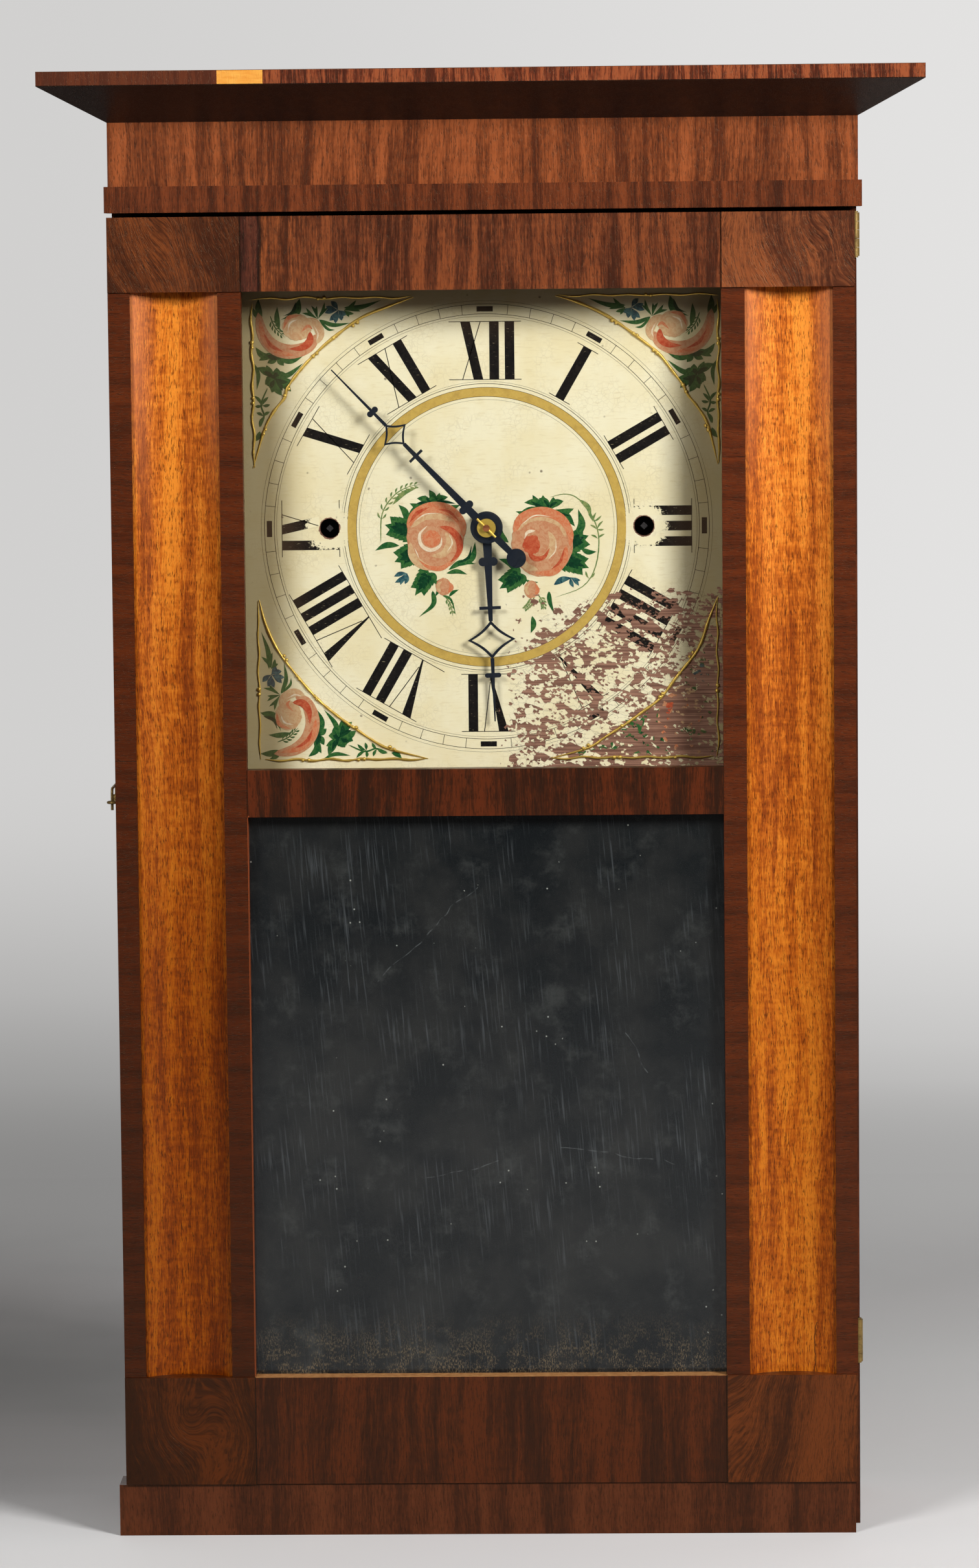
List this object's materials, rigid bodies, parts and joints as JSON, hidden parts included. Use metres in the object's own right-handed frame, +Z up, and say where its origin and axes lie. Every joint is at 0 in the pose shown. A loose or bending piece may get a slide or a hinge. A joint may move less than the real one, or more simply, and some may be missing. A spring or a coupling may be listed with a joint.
{
  "type": "shelf_clock",
  "caption": "Tall weight-driven shelf clock in mahogany veneer with a canted cornice, hollow pilasters, painted dial, old mirror and a striking wooden movement.",
  "frame": {"origin": "middle of the box's footprint, on the surface that the clock stands on", "axes": "+Z up; -Y is the front with the dial and the door; +X is the viewer's right, on the hinge side"},
  "size_m": [0.5612, 0.1808, 0.95],
  "materials": {
    "case_veneer": "French-polished mahogany veneer",
    "dark_veneer": "dark aged mahogany veneer",
    "block_veneer": "swirl-figured mahogany veneer",
    "pilaster_veneer": "golden fiddleback mahogany veneer",
    "strip_veneer": "dark cross-grained veneer",
    "pine": "bare aged pine",
    "dial_paint": "aged oil paint on board",
    "oak": "bare oak",
    "laurel": "turned hardwood",
    "cherry": "bare cherry",
    "brass": "aged brass",
    "blued_iron": "blued iron",
    "steel": "dark drawn steel wire",
    "cast_iron": "rough cast iron",
    "clear_glass": "clear old glass",
    "mirror": "aged dark mirror glass",
    "cord": "twisted linen cord"
  },
  "bodies": {
    "case": {"side_boards": "case_veneer", "back_board": "pine", "bottom_board": "pine", "top_board": "pine", "cornice_mouldings": "dark_veneer", "frieze": "case_veneer", "frieze_band": "dark_veneer", "plinth_rail": "dark_veneer", "inner_rails": "pine", "dial_board": "dial_paint", "hinge_case_leaves": "brass", "latch_screw": "steel", "plate_front": "oak", "plate_back": "oak", "pillars_and_pegs": "laurel", "upper_cords": "cord", "pulley_blocks": "laurel", "bell": "cast_iron"},
    "door": {"hinge_door_leaves": "brass", "latch_eye": "steel", "door_stiles": "pine", "door_rail_top": "case_veneer", "door_rail_middle": "case_veneer", "door_rail_bottom": "case_veneer", "pilasters": "pilaster_veneer", "edge_strips": "strip_veneer", "corner_blocks": "block_veneer", "dial_glass": "clear_glass", "dial_glass_bead": "pine", "mirror_glass": "mirror", "mirror_back": "pine"},
    "hook": {"latch_hook": "steel"},
    "centre_arbor": {"minute_hand": "blued_iron", "hand_collet": "brass", "centre_wheel": "cherry"},
    "hour_pipe": {"hour_hand": "blued_iron", "hour_wheel": "cherry"},
    "minute_wheel": {"minute_wheel": "cherry"},
    "time_second_arbor": {"time_second_wheel": "cherry"},
    "time_great_wheel": {"time_great_wheel": "cherry"},
    "third_arbor": {"third_wheel": "cherry"},
    "escape_arbor": {"escape_wheel": "brass"},
    "verge": {"verge": "steel"},
    "pendulum": {"pendulum_rod": "steel", "pendulum_bob": "brass"},
    "time_weight": {"time_weight": "cast_iron", "time_cord": "cord"},
    "time_drum": {"time_drum": "laurel"},
    "time_pulley": {"time_pulley": "laurel"},
    "strike_weight": {"strike_weight": "cast_iron", "strike_cord": "cord"},
    "strike_drum": {"strike_drum": "laurel"},
    "strike_pulley": {"strike_pulley": "laurel"},
    "strike_great_wheel": {"strike_great_wheel": "cherry"},
    "strike_second_arbor": {"strike_second_wheel": "cherry"},
    "pin_arbor": {"pin_wheel": "cherry"},
    "warning_arbor": {"warning_wheel": "cherry"},
    "fly": {"fly": "cherry"},
    "count_wheel": {"count_wheel": "cherry"},
    "hammer": {"strike_hammer": "cherry"}
  },
  "joints": [
    {"name": "door_swing", "type": "hinge", "parent": "case", "child": "door", "pos_m": [0.2389, -0.02395, 0.65645], "axis": [0, 0, 1], "range_deg": [0, 165]},
    {"name": "latch_lift", "type": "hinge", "parent": "case", "child": "hook", "pos_m": [-0.2443, -0.00645, 0.481], "axis": [-1, 0, 0], "range_deg": [0, 100]},
    {"name": "hands_turn", "type": "hinge", "parent": "case", "child": "centre_arbor", "pos_m": [0, 0.03805, 0.65645], "axis": [0, 1, 0], "continuous": true},
    {"name": "hour_turn", "type": "hinge", "parent": "case", "child": "hour_pipe", "pos_m": [0, -0.00695, 0.65645], "axis": [0, 1, 0], "continuous": true},
    {"name": "minute_wheel_turn", "type": "hinge", "parent": "case", "child": "minute_wheel", "pos_m": [0.011, -0.00295, 0.6374], "axis": [0, 1, 0], "continuous": true},
    {"name": "time_second_turn", "type": "hinge", "parent": "case", "child": "time_second_arbor", "pos_m": [0.0432, 0.03805, 0.65645], "axis": [0, 1, 0], "continuous": true},
    {"name": "time_great_turn", "type": "hinge", "parent": "case", "child": "time_great_wheel", "pos_m": [0.102, 0.06005, 0.65645], "axis": [0, 1, 0], "continuous": true},
    {"name": "third_turn", "type": "hinge", "parent": "case", "child": "third_arbor", "pos_m": [0, 0.03805, 0.69785], "axis": [0, 1, 0], "continuous": true},
    {"name": "escape_turn", "type": "hinge", "parent": "case", "child": "escape_arbor", "pos_m": [0.04, 0.03805, 0.69785], "axis": [0, 1, 0], "continuous": true},
    {"name": "pendulum_swing", "type": "hinge", "parent": "case", "child": "pendulum", "pos_m": [0.04, 0.00155, 0.73385], "axis": [0, 1, 0], "range_deg": [-3.5, 3.5]},
    {"name": "verge_rock", "type": "hinge", "parent": "case", "child": "verge", "pos_m": [0.04, 0.01805, 0.73385], "axis": [0, 1, 0], "range_deg": [-3.5, 3.5]},
    {"name": "time_weight_rise", "type": "slide", "parent": "case", "child": "time_weight", "axis": [0, 0, 1], "range_m": [0, 0.62], "deforming": ["time_cord"]},
    {"name": "time_drum_turn", "type": "hinge", "parent": "case", "child": "time_drum", "pos_m": [0.102, 0.01805, 0.65645], "axis": [0, 1, 0], "continuous": true},
    {"name": "time_pulley_turn", "type": "hinge", "parent": "case", "child": "time_pulley", "pos_m": [0.18235, 0.04005, 0.891], "axis": [0, 1, 0], "continuous": true},
    {"name": "strike_weight_rise", "type": "slide", "parent": "case", "child": "strike_weight", "axis": [0, 0, 1], "range_m": [0, 0.62], "deforming": ["strike_cord"]},
    {"name": "strike_drum_turn", "type": "hinge", "parent": "case", "child": "strike_drum", "pos_m": [-0.102, 0.01805, 0.65645], "axis": [0, 1, 0], "continuous": true},
    {"name": "strike_pulley_turn", "type": "hinge", "parent": "case", "child": "strike_pulley", "pos_m": [-0.18235, 0.04005, 0.891], "axis": [0, 1, 0], "continuous": true},
    {"name": "pin_turn", "type": "hinge", "parent": "case", "child": "pin_arbor", "pos_m": [-0.0432, 0.03805, 0.61445], "axis": [0, 1, 0], "continuous": true},
    {"name": "strike_great_turn", "type": "hinge", "parent": "case", "child": "strike_great_wheel", "pos_m": [-0.102, 0.06005, 0.65645], "axis": [0, 1, 0], "continuous": true},
    {"name": "strike_second_turn", "type": "hinge", "parent": "case", "child": "strike_second_arbor", "pos_m": [-0.0432, 0.03805, 0.65645], "axis": [0, 1, 0], "continuous": true},
    {"name": "warning_turn", "type": "hinge", "parent": "case", "child": "warning_arbor", "pos_m": [-0.01618, 0.03805, 0.59885], "axis": [0, 1, 0], "continuous": true},
    {"name": "fly_turn", "type": "hinge", "parent": "case", "child": "fly", "pos_m": [0.01462, 0.03805, 0.59885], "axis": [0, 1, 0], "continuous": true},
    {"name": "count_turn", "type": "hinge", "parent": "case", "child": "count_wheel", "pos_m": [-0.0432, 0.00505, 0.68365], "axis": [0, 1, 0], "continuous": true},
    {"name": "hammer_lift", "type": "hinge", "parent": "case", "child": "hammer", "pos_m": [-0.08, 0.03805, 0.59245], "axis": [0, -1, 0], "range_deg": [0, 12]}
  ],
  "couplings": [
    {"joint": "hour_turn", "follows": "hands_turn", "ratio": 0.083333},
    {"joint": "minute_wheel_turn", "follows": "hands_turn", "ratio": -0.33333},
    {"joint": "time_second_turn", "follows": "hands_turn", "ratio": -0.2},
    {"joint": "time_great_turn", "follows": "hands_turn", "ratio": 0.033333},
    {"joint": "third_turn", "follows": "hands_turn", "ratio": -8},
    {"joint": "escape_turn", "follows": "hands_turn", "ratio": 72},
    {"joint": "verge_rock", "follows": "pendulum_swing", "ratio": 1},
    {"joint": "time_drum_turn", "follows": "time_weight_rise", "rad_per_m": -64.935},
    {"joint": "time_pulley_turn", "follows": "time_weight_rise", "rad_per_m": -83.333},
    {"joint": "strike_drum_turn", "follows": "strike_weight_rise", "rad_per_m": -64.935},
    {"joint": "strike_pulley_turn", "follows": "strike_weight_rise", "rad_per_m": 83.333},
    {"joint": "pin_turn", "follows": "warning_turn", "ratio": -0.2},
    {"joint": "strike_second_turn", "follows": "warning_turn", "ratio": 0.030769},
    {"joint": "strike_great_turn", "follows": "warning_turn", "ratio": -0.005128},
    {"joint": "fly_turn", "follows": "warning_turn", "ratio": -6},
    {"joint": "count_turn", "follows": "warning_turn", "ratio": -0.012821}
  ]
}
